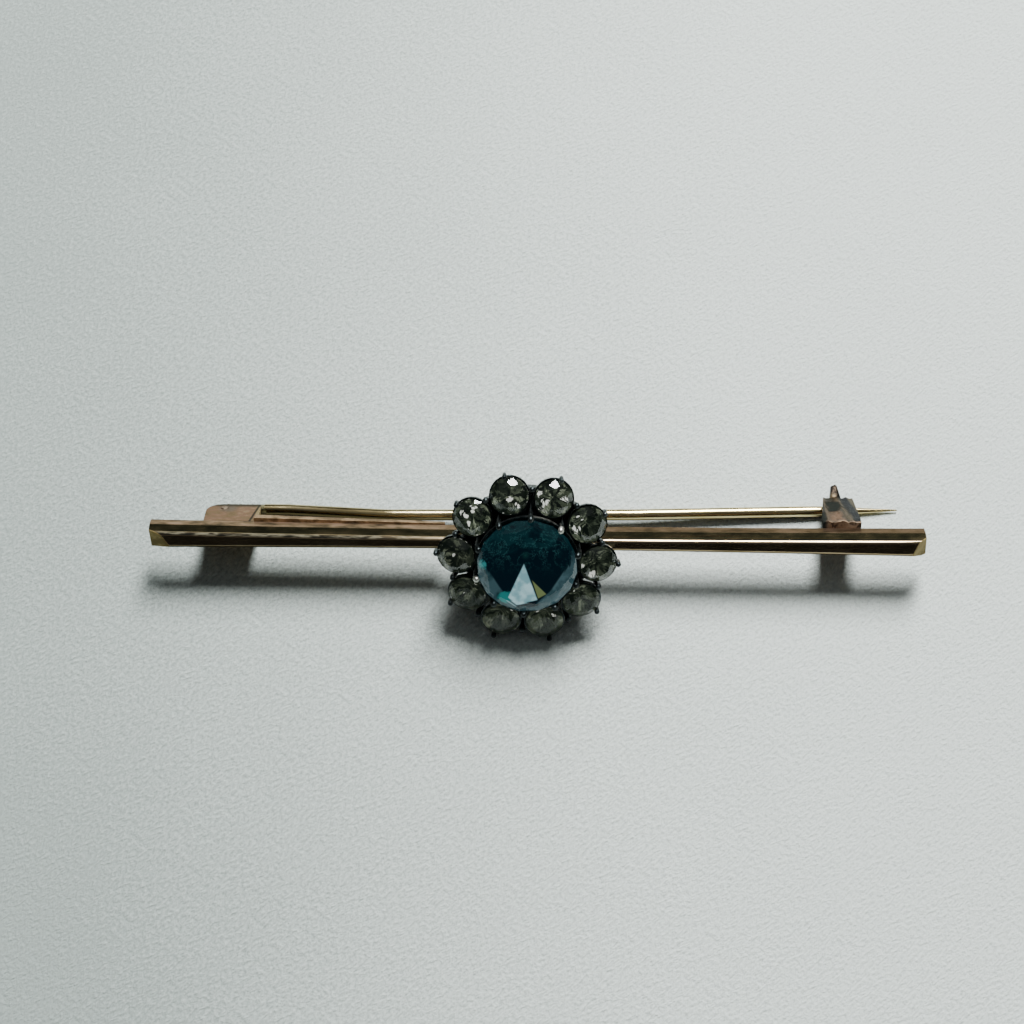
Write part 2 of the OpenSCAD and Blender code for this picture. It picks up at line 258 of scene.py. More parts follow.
sheet = bmesh.new()
bmesh.ops.create_grid(sheet, x_segments=1, y_segments=1, size=Card.half_side)
card = add("card", mesh_of("card", sheet))
paper = Finish("card", held=Matrix.Rotation(Card.grain, 4, "Z") @ Matrix.Scale(MM, 4))
across = paper.x * cos(Card.grain) - paper.u * sin(Card.grain)
nearby = -(paper.x * sin(Card.grain) + paper.u * cos(Card.grain))
# Painted shade: grey to the left, where the lamp's light falls off, and in the near left corner.
corner = (1 - across.clipped(*Card.corner_across)) * nearby.clipped(*Card.corner_nearby)
cloud = paper.noise(14)
tooth = paper.noise(0.2, stretch=(0.6, 1, 1), rough=0.65)
tone_and_painted_shade = across.clipped(*Card.greying) - 0.2 * corner + 0.2 * (cloud - 0.5) + 1.5 * (tooth - 0.5)
paper.set(
    Base_Color=paper.mix(tone_and_painted_shade, Card.grey, Card.white),
    Roughness=0.75,
    Specular_IOR_Level=0.2,
    Normal=paper.bump(tooth, depth=0.2))
card.data.materials.append(paper.material)


# Light: one tall soft lamp high behind the brooch and a little to its right, in a dim room whose
# ceiling gives a little light. The room's walls are dark, which is what the polished bar shows.
class Lamp:
    hangs_at = Vector((0.064, 0.256, 0.365))
    width, height = 0.14, 0.27
    watts = 4.3
    colour = (0.985, 1.0, 0.985)


light = bpy.data.lights.new("lamp", "AREA")
light.shape = "ELLIPSE"
light.size, light.size_y = Lamp.width, Lamp.height
light.energy = Lamp.watts
light.color = Lamp.colour
lamp = add("lamp", light)
lamp.location = Lamp.hangs_at
lamp.rotation_euler = (-Lamp.hangs_at).to_track_quat("-Z", "Y").to_euler()

world = bpy.data.worlds.new("room")
world.use_nodes = True
bpy.context.scene.world = world
room = Finish("room", world)
direction = room.node("ShaderNodeTexCoord", {}, {}, "Generated")
height = room.parts(direction)[2]
walls = room.ramp(height, [
    (0.0, (0.012, 0.012, 0.013)), (0.45, (0.018, 0.019, 0.019)),
    (0.8, (0.07, 0.073, 0.075)), (1.0, (0.17, 0.177, 0.18))])
backdrop = (0.60, 0.63, 0.63)
seen = room.node("ShaderNodeLightPath", {}, {}, "Is Camera Ray")
room.set(Color=room.mix(seen, walls, backdrop), Strength=1.0)


# Bar: one length of rosy gold, drawn with a flat front face, bevels and straight side walls, and cut
# off slanted at both ends. The back is left plain. Wear has rounded the arrises of the face. Its
# bevels are tarnished and darkened with painted shade, and painted shade dims the worn arrises of
# its left half.
class Bar:
    # Depth of the whole and of the straight walls, and how far each bevel stands out past the face
    depth, side_depth, rise = 1.7, 0.8, 0.29
    # Height of the face in its middle and at its ends, and X of the middle
    face_mid, face_end, middle = 0.68, 1.0, -0.7
    # Half its length, what is drawn past each end and then cut off, and the steps along it
    half_length, spare, stations = 25.37, 0.9, 24
    # Planes that cut it off, as X and a normal that points into the metal
    left_end, left_slope = (-25.33, (1, 0.05, 0)), (-24.34, (1, 0.72, -1.76))
    right_slope, right_end = (24.65, (-1, 0.4, -0.97)), (25.38, (-1, -0.08, 0))
    # Widths of the wear on the face's arrises, on the other long ones and on those of the ends,
    # which lie farther out than ends_from
    face_wear, wear, end_wear, ends_from = 0.17, 0.09, 0.14, 23
    # Fades from one finish to the next: depths behind the face, distances out from the face's edge
    # and down from its middle, X of the right half, and distances inside the end slopes
    arris_depth, bevel_depth, wall_depth = (0.15, 0.3), (0.15, 0.25), (0.85, 0.95)
    arris_edge, lower_half, right_half = (-0.17, -0.06), (0, 0.1), (-12, 2)
    left_cut, right_cut = (0.02, 0.12), (0.02, 0.08)


def bar_face(x):
    """Height of the bar's front face at x."""
    return Bar.face_mid + (Bar.face_end - Bar.face_mid) * ((x - Bar.middle) / Bar.half_length) ** 2


def bar_section(x):
    """Corners of the bar's section at x, as places in the worn frame."""
    face, back = bar_face(x) / 2, bar_face(x) / 2 + Bar.rise
    wall = Bar.side_depth - Bar.depth
    return [
        Vector((x, *corner)) for corner in (
            (back, -Bar.depth), (back, wall), (face, 0), (-face, 0), (-back, wall), (-back, -Bar.depth))]


def loft(work, sections):
    """Draws a solid out through rings of places. The first face moves along and is made again."""
    first = [work.verts.new(place) for place in sections[0]]
    cap = work.faces.new(first)
    for section in sections[1:]:
        cap = bmesh.ops.extrude_discrete_faces(work, faces=[cap])["faces"][0]
        for vert, place in zip(cap.verts, section):
            vert.co = place
    work.faces.new(first)


def cut(work, x, normal=(1, 0, 0), **cleared):
    """Cuts through a bmesh at X. Where a side is cleared, the cut is closed."""
    bmesh.ops.bisect_plane(
        work, geom=[*work.verts, *work.edges, *work.faces], dist=1e-4, plane_co=(x, 0, 0),
        plane_no=normal, **cleared)
    bmesh.ops.holes_fill(work, edges=[e for e in work.edges if e.is_boundary], sides=0)


def corners_of(work, degrees):
    """The edges of a bmesh where two faces meet at more than an angle."""
    return [e for e in work.edges if e.is_manifold and e.calc_face_angle(0) > radians(degrees)]


def wear(work, edges, offset, segments):
    """Rounds edges of a bmesh."""
    bmesh.ops.bevel(
        work, geom=edges, offset=offset, segments=segments, profile=0.5, affect="EDGES", material=-1,
        clamp_overlap=True)


def keep(name, work, finish, body, node, smooth):
    """Makes the piece that stands for a CAD node. It is smooth at edges under smooth degrees."""
    bmesh.ops.remove_doubles(work, verts=work.verts, dist=1e-5)
    bmesh.ops.recalc_face_normals(work, faces=work.faces)
    bmesh.ops.transform(work, matrix=laid, verts=work.verts)
    piece = add(name, mesh_of(name, work))
    piece.data.materials.append(finish.material)
    piece.data.shade_smooth()
    piece.data.set_sharp_from_angle(angle=radians(smooth))
    flats = piece.modifiers.new("flats", "WEIGHTED_NORMAL")
    flats.keep_sharp = True
    flats.weight = 80
    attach(piece, body)
    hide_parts(node)


def long_arrises(work, least_run=0.1):
    """The sharp edges that run along the bar."""
    return [
        e for e in corners_of(work, degrees=12) if abs((e.verts[0].co - e.verts[1].co).x) > least_run]


bar_work = bmesh.new()
loft(bar_work, [
    bar_section(Bar.middle + (2 * i / Bar.stations - 1) * (Bar.half_length + Bar.spare))
    for i in range(Bar.stations + 1)])
bmesh.ops.recalc_face_normals(bar_work, faces=bar_work.faces)
half_bevel = (Bar.side_depth - Bar.depth) / 2
in_front = [e for e in long_arrises(bar_work) if e.verts[0].co.z > half_bevel]
wear(bar_work, in_front, Bar.face_wear, segments=6)
farther_back = [e for e in long_arrises(bar_work) if e.verts[0].co.z < half_bevel]
wear(bar_work, farther_back, Bar.wear, segments=3)
for x, normal in (Bar.left_end, Bar.left_slope, Bar.right_slope, Bar.right_end):
    cut(bar_work, x, normal, clear_inner=True)
bmesh.ops.recalc_face_normals(bar_work, faces=bar_work.faces)
end_arrises = [e for e in corners_of(bar_work, degrees=25) if abs(e.verts[0].co.x) > Bar.ends_from]
wear(bar_work, end_arrises, Bar.end_wear, segments=3)

gold = Finish("rosy gold")


def inside(plane):
    """How far a place on the bar lies inside one of its end planes, in that normal's lengths."""
    x, normal = plane
    return (gold.x - x) * normal[0] + gold.u * normal[1] + gold.n * normal[2]


behind = -gold.n
beside_face = abs(gold.u) - bar_face(gold.x) / 2
arris = (1 - behind.clipped(*Bar.arris_depth)) * beside_face.clipped(*Bar.arris_edge)
wall = behind.clipped(*Bar.wall_depth)
slope = behind.clipped(*Bar.bevel_depth) * (1 - wall)
lower = (-gold.u).clipped(*Bar.lower_half)
right = gold.x.clipped(*Bar.right_half)
left = 1 - right
cut_end = 1 - (inside(Bar.left_slope).clipped(*Bar.left_cut)
               * inside(Bar.right_slope).clipped(*Bar.right_cut))
worn = gold.noise(1.6, detail=4, stretch=(0.3, 1, 1))
blotch = gold.noise(0.7, detail=4, stretch=(0.45, 1, 1), rough=0.65)
fine = gold.noise(0.16, detail=4, stretch=(0.25, 1, 1))
polished = gold.ramp(worn, [
    (0.3, (0.30, 0.22, 0.13)), (0.5, (0.50, 0.38, 0.23)), (0.72, (0.64, 0.50, 0.32))])
# Bevels: tarnish, darkened further with painted shade for the dark room that they mirror.
tarnish_and_painted_shade = gold.ramp(blotch, [
    (0.32, (0.07, 0.075, 0.045)), (0.5, (0.19, 0.17, 0.09)), (0.68, (0.40, 0.32, 0.17))])
pink = gold.ramp(blotch, [
    (0.36, (0.068, 0.053, 0.036)), (0.48, (0.21, 0.148, 0.092)), (0.62, (0.38, 0.255, 0.175))])
# Left half's worn arrises: rubbed specks, darkened with painted shade where the lamp's highlight is dim.
rubbed_gold_in_shade, painted_arris_shade = (0.14, 0.128, 0.09), (0.014, 0.013, 0.010)
worn_and_painted_shade = gold.mix((0.5 * fine + 0.5 * blotch).clipped(0.42, 0.56), rubbed_gold_in_shade, painted_arris_shade)
sawn_dull, sawn_bright = (0.17, 0.125, 0.038), (0.36, 0.27, 0.105)
sawn = gold.mix(blotch.clipped(0.4, 0.6), sawn_dull, sawn_bright)
brown, lower_edge_dark = (0.02, 0.012, 0.006), (0.04, 0.034, 0.02)
tone = gold.mix(slope, polished, tarnish_and_painted_shade)
tone = gold.mix(wall, tone, gold.mix(0.64 * right, pink, brown))
tone = gold.mix(arris * left, tone, worn_and_painted_shade)
# Darker along the lower arris and the lower bevel.
tone = gold.mix((arris + slope * 0.9) * lower * 0.85, tone, lower_edge_dark)
tone = gold.mix(cut_end, tone, sawn)
gold.set(
    Base_Color=tone,
    Metallic=1 - 0.9 * cut_end - 0.03 * slope - 0.3 * wall,
    Specular_IOR_Level=0.15,
    Specular_Tint=(0.6, 0.49, 0.38),
    Roughness=0.09 + 0.08 * worn + 0.05 * fine + 0.14 * wall + 0.5 * arris * left + 0.4 * cut_end,
    Normal=gold.bump(0.6 * fine + 0.4 * blotch, depth=0.006, strength=0.5))
keep("gold_bar", bar_work, gold, "brooch", "bar", smooth=32)


# Hinge: two ears and a stop block, sawn from a strip of gold that tapers off along the bar's back.
# It is left matt, is darker along its solder seam, carries painted shade in the gap near its block's
# right end, and the rivet through its ears is peened over.
class Hinge:
    # The tail: X of its ends, heights of its upper edge there, and a height between the top of the
    # block and that edge
    tail_start, tail_end = -18.7, -6.1
    tail_tall, tail_low, over_block = 0.95, 0.71, 0.58
    wear = 0.05
    # Solder seam under the block: its N, the fade of its dark, and X where the block ends
    seam, seam_fade, block_end = -1.74, (0.05, 0.5), (-19, -18.7)
    # Painted shade in the gap across the block near its right end: a place on it in X and N, its lean
    # and its edge
    line_x, line_n, line_lean, line_edge = -18.5, -4.8, 0.17, (0.04, 0.11)
    # Dark rims: depths of the one at the back, and X of the one at the left
    back_rim, left_rim = (4.2, 4.6), (-22.05, -21.8)
    # Spot that is dulled by handling, in X and N, and its radius
    thumbed, thumbed_radius = (-20.55, -4.1), 0.85
    # The block's pale right end in X and in depth, and the tail in X and in N
    pale_from, pale_depth = (-18.8, -18.6), (2.3, 2.6)
    tail_from, tail_fade = (-18.7, -18.5), (-2.6, -2.3)


def from_cad(name, whole_faces=False):
    """A CAD node's mesh as a bmesh in the worn frame, joined up, and with whole faces if asked."""
    node = frame["nodes"][name]
    work = bmesh.new()
    work.from_mesh(node.data)
    bmesh.ops.transform(work, matrix=laid.inverted() @ node.matrix_world, verts=work.verts)
    bmesh.ops.remove_doubles(work, verts=work.verts, dist=1e-4)
    if whole_faces:
        bmesh.ops.dissolve_limit(work, angle_limit=radians(1.5), verts=work.verts, edges=work.edges)
    return work


hinge_gold = Finish("hinge gold")
x, n = hinge_gold.x, hinge_gold.n
stain = hinge_gold.noise(0.7, detail=5, stretch=(0.8, 1, 1.2), rough=0.62)
grain = hinge_gold.noise(0.12)
seam = (1 - abs(n - Hinge.seam).clipped(*Hinge.seam_fade)) * (1 - x.clipped(*Hinge.block_end))
# Painted shade in the gap near the block's right end.
off_line = abs(x - Hinge.line_x + Hinge.line_lean * (n - Hinge.line_n))
gap_shade = 1 - off_line.clipped(*Hinge.line_edge)
rim = 1 - (1 - (-n).clipped(*Hinge.back_rim)) * (x + 0.4 * stain).clipped(*Hinge.left_rim)
thumbed = hinge_gold.spot(x, n, Hinge.thumbed, Hinge.thumbed_radius, soft=0.7)
pale_end = x.clipped(*Hinge.pale_from) * (-n).clipped(*Hinge.pale_depth)
tail = x.clipped(*Hinge.tail_from) * n.clipped(*Hinge.tail_fade)
pale, dulled = (0.33, 0.25, 0.13), (0.16, 0.13, 0.10)
solder, gap_shade_dark, rim_dark = (0.06, 0.045, 0.03), (0.02, 0.018, 0.012), (0.04, 0.036, 0.024)
tan_dark, tan_light = (0.20, 0.14, 0.08), (0.44, 0.32, 0.19)
tan = hinge_gold.mix(stain.clipped(0.42, 0.58), tan_dark, tan_light)
matt = hinge_gold.ramp(stain, [
    (0.3, (0.10, 0.065, 0.035)), (0.44, (0.21, 0.145, 0.075)), (0.56, (0.245, 0.145, 0.09)),
    (0.7, (0.34, 0.24, 0.14))])
for share, colour in (
        (pale_end, pale), (tail * 0.7, tan), (thumbed * 0.8, dulled), (seam * 0.85, solder),
        (gap_shade * 0.9, gap_shade_dark), (rim * 0.85, rim_dark)):
    matt = hinge_gold.mix(share, matt, colour)
hinge_gold.set(
    Base_Color=matt,
    Metallic=1.0,
    Roughness=0.52 + 0.15 * grain,
    Normal=hinge_gold.bump(0.3 * grain + 0.7 * stain, depth=0.08, strength=0.8))

work = from_cad("hinge", whole_faces=True)
for vert in work.verts:
    if vert.co.x > Hinge.tail_start and vert.co.y > Hinge.over_block:
        share = (vert.co.x - Hinge.tail_start) / (Hinge.tail_end - Hinge.tail_start)
        vert.co.y = Hinge.tail_tall + (Hinge.tail_low - Hinge.tail_tall) * share
wear(work, corners_of(work, degrees=40), Hinge.wear, segments=2)
keep("hinge_block", work, hinge_gold, "brooch", "hinge", smooth=35)
keep("hinge_rivet", from_cad("rivet"), hinge_gold, "brooch", "rivet", smooth=35)


# Catch: a bent strip of the same gold behind the other end of the bar. The wire lies under its roof
# and its narrow tongue is what is left of a longer lip. Its folds carry painted light and shade, and
# painted shadow blackens the dip behind the wire and the left side of its root.
class Catch:
    roof = 0.62
    # Creases of the crumpled strip, as X and height over its roof
    creases = (
        (18.72, 0.0), (19.0, 0.13), (19.28, 0.01), (19.7, 0.05), (20.08, 0.15), (20.36, 0.0), (20.62, 0.11),
        (20.86, 0.0), (21.18, 0.04))
    # The tongue: its middle, foot, top and half width, how far its top leans to the left, its foot's
    # width as a share of the plain strip's, and how much less of that its top has
    tongue_x, tongue_foot, tongue_top, tongue_half = 19.95, 0.87, 1.75, 0.36
    tongue_lean, tongue_flare, tongue_taper = 0.1, 1.15, 0.65
    wear = 0.035
    # Painted light and shade of the folds: X of the first, the width they cover, and how they slant
    # right of slant_x from slant_n on
    folds_from, folds_cover, slant, slant_x, slant_n = 18.65, 2.3, 0.2, 19.2, -5.3
    # Outlines of the rosy patch and of the painted shadows, in X and N
    rosy = [(19.25, -3.4), (20.0, -3.4), (20.2, -1.7), (19.2, -1.7)]
    in_painted_shadow = (
        [(19.1, -5.0), (20.15, -5.0), (20.1, -3.5), (19.25, -3.5)],
        [(18.4, -3.3), (18.95, -3.3), (19.0, -1.4), (18.4, -1.4)])
    # Fades of its foot on the bar in N, and of its tongue in U
    foot_fade, tongue_fade = (-1.97, -1.85), (1.2, 1.4)


def crease_lift(x):
    """How far the catch's roof is lifted at x."""
    near = max(c for c in range(len(Catch.creases) - 1) if c == 0 or Catch.creases[c][0] <= x + 1e-4)
    (x0, lift0), (x1, lift1) = Catch.creases[near:near + 2]
    return lift0 + (lift1 - lift0) * (x - x0) / (x1 - x0)


catch_gold = Finish("catch gold")
x, u, n = catch_gold.x, catch_gold.u, catch_gold.n
burnt = catch_gold.noise(0.6, detail=5, stretch=(1.2, 1, 0.9), rough=0.65)
grain = catch_gold.noise(0.1)
slanted = Catch.slant * (n - Catch.slant_n) * (x - Catch.slant_x).clipped(0, 1)
fold = (x - Catch.folds_from - slanted) / Catch.folds_cover + 0.2 * (burnt - 0.5)
# Painted light and shade across the folds.
painted_folds_and_stains = catch_gold.ramp(fold, [
    (0.02, (0.06, 0.04, 0.026)), (0.12, (0.018, 0.013, 0.010)), (0.18, (0.13, 0.096, 0.060)),
    (0.28, (0.035, 0.028, 0.017)), (0.48, (0.048, 0.037, 0.022)), (0.56, (0.14, 0.104, 0.065)),
    (0.66, (0.022, 0.018, 0.013)), (0.74, (0.012, 0.012, 0.015)), (0.88, (0.012, 0.012, 0.015)),
    (0.96, (0.12, 0.098, 0.063))])
rose, shadow_black = (0.23, 0.13, 0.075), (0.016, 0.019, 0.016)
rosy = catch_gold.patch(x, n, Catch.rosy, soft=0.3) * burnt.clipped(0.3, 0.55)
painted_folds_and_stains = catch_gold.mix(rosy, painted_folds_and_stains, rose)
# Painted shadow in the dip behind the wire and down the left side of its root.
painted_shadows = [
    (catch_gold.patch(x, n, outline, soft=0.3) + 2.6 * (burnt - 0.5)).clipped(0.1, 1.0)
    for outline in Catch.in_painted_shadow]
for blotching in painted_shadows:
    painted_folds_and_stains = catch_gold.mix(blotching, painted_folds_and_stains, shadow_black)
in_painted_shadow = painted_shadows[0].larger(painted_shadows[1])
foot = n.clipped(*Catch.foot_fade) * (1 - in_painted_shadow)
foot_dark, foot_light = (0.08, 0.055, 0.037), (0.36, 0.235, 0.150)
painted_folds_and_stains = catch_gold.mix(foot, painted_folds_and_stains, catch_gold.mix(burnt.clipped(0.42, 0.58), foot_dark, foot_light))
tongue_dark, tongue_light = (0.014, 0.012, 0.010), (0.075, 0.055, 0.04)
tongue = catch_gold.mix(burnt.clipped(0.42, 0.6), tongue_dark, tongue_light)
painted_folds_and_stains = catch_gold.mix(u.clipped(*Catch.tongue_fade), painted_folds_and_stains, tongue)
catch_gold.set(
    Base_Color=painted_folds_and_stains,
    Metallic=1 - 0.8 * in_painted_shadow - 0.6 * foot,
    Specular_IOR_Level=0.08,
    Roughness=0.36 + 0.2 * grain + 0.4 * in_painted_shadow,
    Normal=catch_gold.bump(0.3 * grain + 0.7 * burnt, depth=0.09, strength=0.9))

work = from_cad("catch", whole_faces=True)
for crease in Catch.creases[1:-1]:
    cut(work, crease[0])
for vert in work.verts:
    x, u, n = vert.co
    if u > Catch.roof:
        vert.co.y += crease_lift(x)
    if u > Catch.tongue_foot and abs(x - Catch.tongue_x) < Catch.tongue_half:
        share = min(1, (u - Catch.tongue_foot) / (Catch.tongue_top - Catch.tongue_foot))
        width = Catch.tongue_flare - Catch.tongue_taper * share
        vert.co.x = Catch.tongue_x - Catch.tongue_lean * share + (x - Catch.tongue_x) * width
bmesh.ops.triangulate(work, faces=[f for f in work.faces if len(f.verts) > 4])
wear(work, corners_of(work, degrees=50), Catch.wear, segments=2)
keep("catch_strip", work, catch_gold, "brooch", "catch", smooth=30)


# Pin: hard drawn gold wire, paler and brighter than the bar, flattened to an eye at the rivet and
# filed to a point that reaches past the catch. Painted shade darkens its lower side.
class Wire:
    # Its radius, X where it starts, and how far behind the bar's face it starts
    radius, start, behind = 0.38, -18.25, 5.2
    # X where the eye's flat shank ends, a little past the wire's start, and where the wire is at U 0
    shank_end, level = -18.12, -18.1
    # Runs of straight wire, each with the bend after it and the bend's radius
    runs = ((1.2, radians(6.5), 8), (5.6, radians(-7.5), 8), (15.4, radians(-2.5), 20))
    bend_steps, sides = 6, 24
    rise = sin(radians(0.33))
    # X of the tip, lengths of the taper and of the needle after it, and radii of the needle's ends
    tip, taper, needle, needle_radius, point = 24.1, 3.1, 2.45, 0.2, 0.05
    # Its lower side carries painted shade: the fade of that shade in U, which is raised towards the hinge
    dark_fade, raised, raised_until = (-0.12, 0.1), 0.22, (-17, -4)


def wire_stations():
    """Places along the wire, as X, N, heading and radius."""
    x, n, heading = Wire.start, -Wire.behind, 0
    yield x, n, heading, Wire.radius
    for length, bend, bend_radius in Wire.runs:
        x, n = x + length * cos(heading), n + length * sin(heading)
        swing = bend_radius if bend > 0 else -bend_radius
        for step in range(Wire.bend_steps + 1):
            here = heading + bend * step / Wire.bend_steps
            bent_x = x + swing * (sin(here) - sin(heading))
            bent_n = n - swing * (cos(here) - cos(heading))
            yield bent_x, bent_n, here, Wire.radius
        x, n, heading = bent_x, bent_n, here
    length = (Wire.tip - x) / cos(heading)
    for reach, radius in (
            (length - Wire.needle - Wire.taper, Wire.radius), (length - Wire.needle, Wire.needle_radius),
            (length, Wire.point)):
        yield x + reach * cos(heading), n + reach * sin(heading), heading, radius


def wire_section(x, n, heading, radius):
    """A ring of places round the wire."""
    turns = [2 * pi * k / Wire.sides for k in range(Wire.sides)]
    u = (x - Wire.level) * Wire.rise
    return [
        (x - radius * sin(around) * sin(heading), u + radius * cos(around),
         n + radius * sin(around) * cos(heading)) for around in turns]


wire = Finish("pin wire")
scuff = wire.noise(1.2, detail=4, stretch=(0.25, 1, 1))
drawn = wire.noise(0.1, stretch=(0.2, 1, 1))
bright = wire.ramp(scuff, [
    (0.3, (0.40, 0.31, 0.14)), (0.55, (0.64, 0.52, 0.27)), (0.75, (0.80, 0.68, 0.40))])
# Painted shade on the wire's lower side.
dark = (0.09, 0.068, 0.03)
out_of_shade = (wire.u - Wire.raised * (1 - wire.x.clipped(*Wire.raised_until))).clipped(*Wire.dark_fade)
wire.set(
    Base_Color=wire.mix(out_of_shade, dark, bright),
    Metallic=1.0,
    Roughness=0.09 + 0.12 * scuff + 0.05 * drawn,
    Normal=wire.bump(drawn, depth=0.003, strength=0.5))

work = from_cad("pin")
cut(work, Wire.shank_end, clear_outer=True)
loft(work, [wire_section(*station) for station in wire_stations()])
keep("wire_pin", work, wire, "pin", "pin", smooth=40)


# Setting: blackened silver, soldered up from a back plate, a cup for every stone and round claws.
# Two claw tips carry a painted glint, and a stretch of rim above the blue stone is paler.
class Setting:
    # The claws with a painted glint as a place in X and U and a radius, the pale rim as an outline, and
    # the N above which either is bright
    left_claw, upper_claw = ((-3.93, -0.87), 0.5), ((1.40, 2.60), 0.6)
    rim = [(-0.5, 3.1), (1.4, 2.7), (1.8, 3.1), (-0.4, 3.6)]
    claws_above, rim_above = (3.2, 3.4), (2.5, 2.8)
    bright = (0.62, 0.62, 0.57)


silver = Finish("oxidised silver")
x, u, n = silver.x, silver.u, silver.n
blotching = silver.noise(0.5, detail=4)
# Painted glints on two claw tips, and a paler stretch of rim above the blue stone.
painted_claw_glints = silver.spot(x, u, *Setting.left_claw) + silver.spot(x, u, *Setting.upper_claw)
pale_rim = silver.patch(x, u, Setting.rim, soft=0.1) * n.clipped(*Setting.rim_above)
wear_and_painted_glints = blotching * 0.6 + 0.8 * n.clipped(*Setting.claws_above) * painted_claw_glints + 0.35 * pale_rim
blackened = silver.ramp(blotching, [
    (0.35, (0.014, 0.018, 0.019)), (0.6, (0.045, 0.056, 0.058)), (0.8, (0.20, 0.22, 0.21))])
silver.set(
    Base_Color=silver.mix(wear_and_painted_glints.clipped(0.5, 0.9), blackened, Setting.bright),
    Metallic=0.9,
    Roughness=0.22 + 0.25 * blotching,
    Normal=silver.bump(blotching, depth=0.02, strength=0.6))
keep("stone_setting", from_cad("setting"), silver, "brooch", "setting", smooth=35)


# Blue stone: round, cut with table, crown and pavilion facets. Its crown is clear, and its pavilion
# glows with painted reflections: the light and dark patches that its facets throw back.
class BlueStone:
    # Place of its girdle's middle
    x, n = -0.7, 3.25
    # Height of its table over its girdle, and how far upward a place is seen per millimetre below it
    table, sight_lean = 0.412, 0.25
    tint, index, gloss = (0.80, 0.93, 0.95), 1.55, 0.5
    # Outlines of its painted reflections, across and upward: its table, a pale facet and a green one
    table_edge = [
        (-2.78, 0.78), (-2.71, -0.37), (-1.66, -1.52), (-0.9, -2.75), (1.0, -2.5), (1.5, -1.66),
        (2.49, -0.73), (2.68, 0.93), (1.9, 2.35), (0, 2.9), (-1.9, 2.35)]
    pale = [(-0.20, 0.23), (-1.19, -2.09), (-0.62, -2.58), (0.69, -2.24)]
    leaf = [(0.34, -0.90), (0.74, -2.14), (1.26, -1.83)]
    # Painted green glows at its edge, as places, radii and colours, and a dull one on its table
    glows = (((-1.35, -2.0), 0.75, (0.010, 0.18, 0.17)), ((-2.75, 0.2), 0.5, (0.03, 0.20, 0.20)))
    dull_glow, dull_radius = (-0.1, 0.85), 0.4


def dress(finish, node, colour, tint, index, gloss):
    """Gives a stone a clear crown over a pavilion that glows in a colour of painted reflections."""
    finish.set(
        Base_Color=tint, Roughness=0.015, IOR=index, Specular_IOR_Level=gloss, Transmission_Weight=1.0,
        Normal=finish.bump(finish.noise(0.5), depth=0.003, strength=0.3))
    glow = finish.node("ShaderNodeBsdfPrincipled", {}, {
        "Base Color": (0.0, 0.0, 0.0), "Roughness": 0.6, "Specular IOR Level": 0.0,
        "Emission Color": colour, "Emission Strength": 1.0})
    under_girdle = (-0.05, -0.015)
    below = 1 - finish.n.clipped(*under_girdle)
    crown = Value(finish, finish.surface.outputs["BSDF"])
    both = finish.node("ShaderNodeMixShader", {}, {0: below, 1: crown, 2: glow})
    finish.tree.links.new(both.socket, finish.tree.nodes["Material Output"].inputs["Surface"])
    node.data.materials.clear()
    node.data.materials.append(finish.material)


blue = Finish("blue stone", held=laid @ Matrix.Translation((BlueStone.x, 0, BlueStone.n)))
across = blue.x
upward = blue.u + (BlueStone.table - blue.n) * BlueStone.sight_lean
cloudy = blue.noise(0.8, detail=4)
speck = blue.noise(0.25)
# Painted thin streaks of reflected light across the table.
painted_streaks = 1 - abs(blue.noise(1.1, detail=5, rough=0.7) - 0.5).clipped(0.0, 0.018)
deep, less_deep, streak_green, dull_green = (
    (0.0015, 0.0070, 0.012), (0.004, 0.024, 0.029), (0.035, 0.13, 0.13), (0.02, 0.11, 0.09))
depth = (cloudy * (0.35 + upward.clipped(-0.5, 2.4))).clipped(0.40, 0.75)
dull_glow = blue.spot(across, upward, BlueStone.dull_glow, BlueStone.dull_radius, soft=1)
painted_reflections = blue.mix(depth, deep, less_deep)
painted_reflections = blue.mix(painted_streaks * upward.clipped(-0.8, 1.6) * speck, painted_reflections, streak_green)
painted_reflections = blue.mix(dull_glow * speck * 0.35, painted_reflections, dull_green)
table = blue.patch(across, upward, BlueStone.table_edge, soft=0.06)
lower = 1 - upward.clipped(-0.2, 1.4)
crown_dark, crown_light = (0.012, 0.034, 0.040), (0.052, 0.098, 0.112)
crown_share = 0.65 * cloudy.clipped(0.4, 0.6) + 0.5 * across.clipped(-0.5, 2.4)
painted_reflections = blue.mix((1 - table) * lower, painted_reflections, blue.mix(crown_share, crown_dark, crown_light))
for centre, size, colour in BlueStone.glows:
    green = blue.spot(across, upward, centre, size, soft=1) + 1.6 * (speck - 0.5)
    painted_reflections = blue.mix(green.clipped(0.35, 0.9), painted_reflections, colour)
sky, bright_sky, leaf_green = (0.20, 0.38, 0.42), (0.44, 0.66, 0.70), (0.15, 0.18, 0.075)
pale_facet = blue.patch(across, upward, BlueStone.pale, soft=0.05)
green_facet = blue.patch(across, upward, BlueStone.leaf, soft=0.04)
painted_reflections = blue.mix(pale_facet, painted_reflections, blue.mix(cloudy.clipped(0.4, 0.65), sky, bright_sky))
painted_reflections = blue.mix(green_facet, painted_reflections, leaf_green)
dress(
    blue, frame["nodes"]["centre_stone"], painted_reflections, BlueStone.tint, BlueStone.index, BlueStone.gloss)
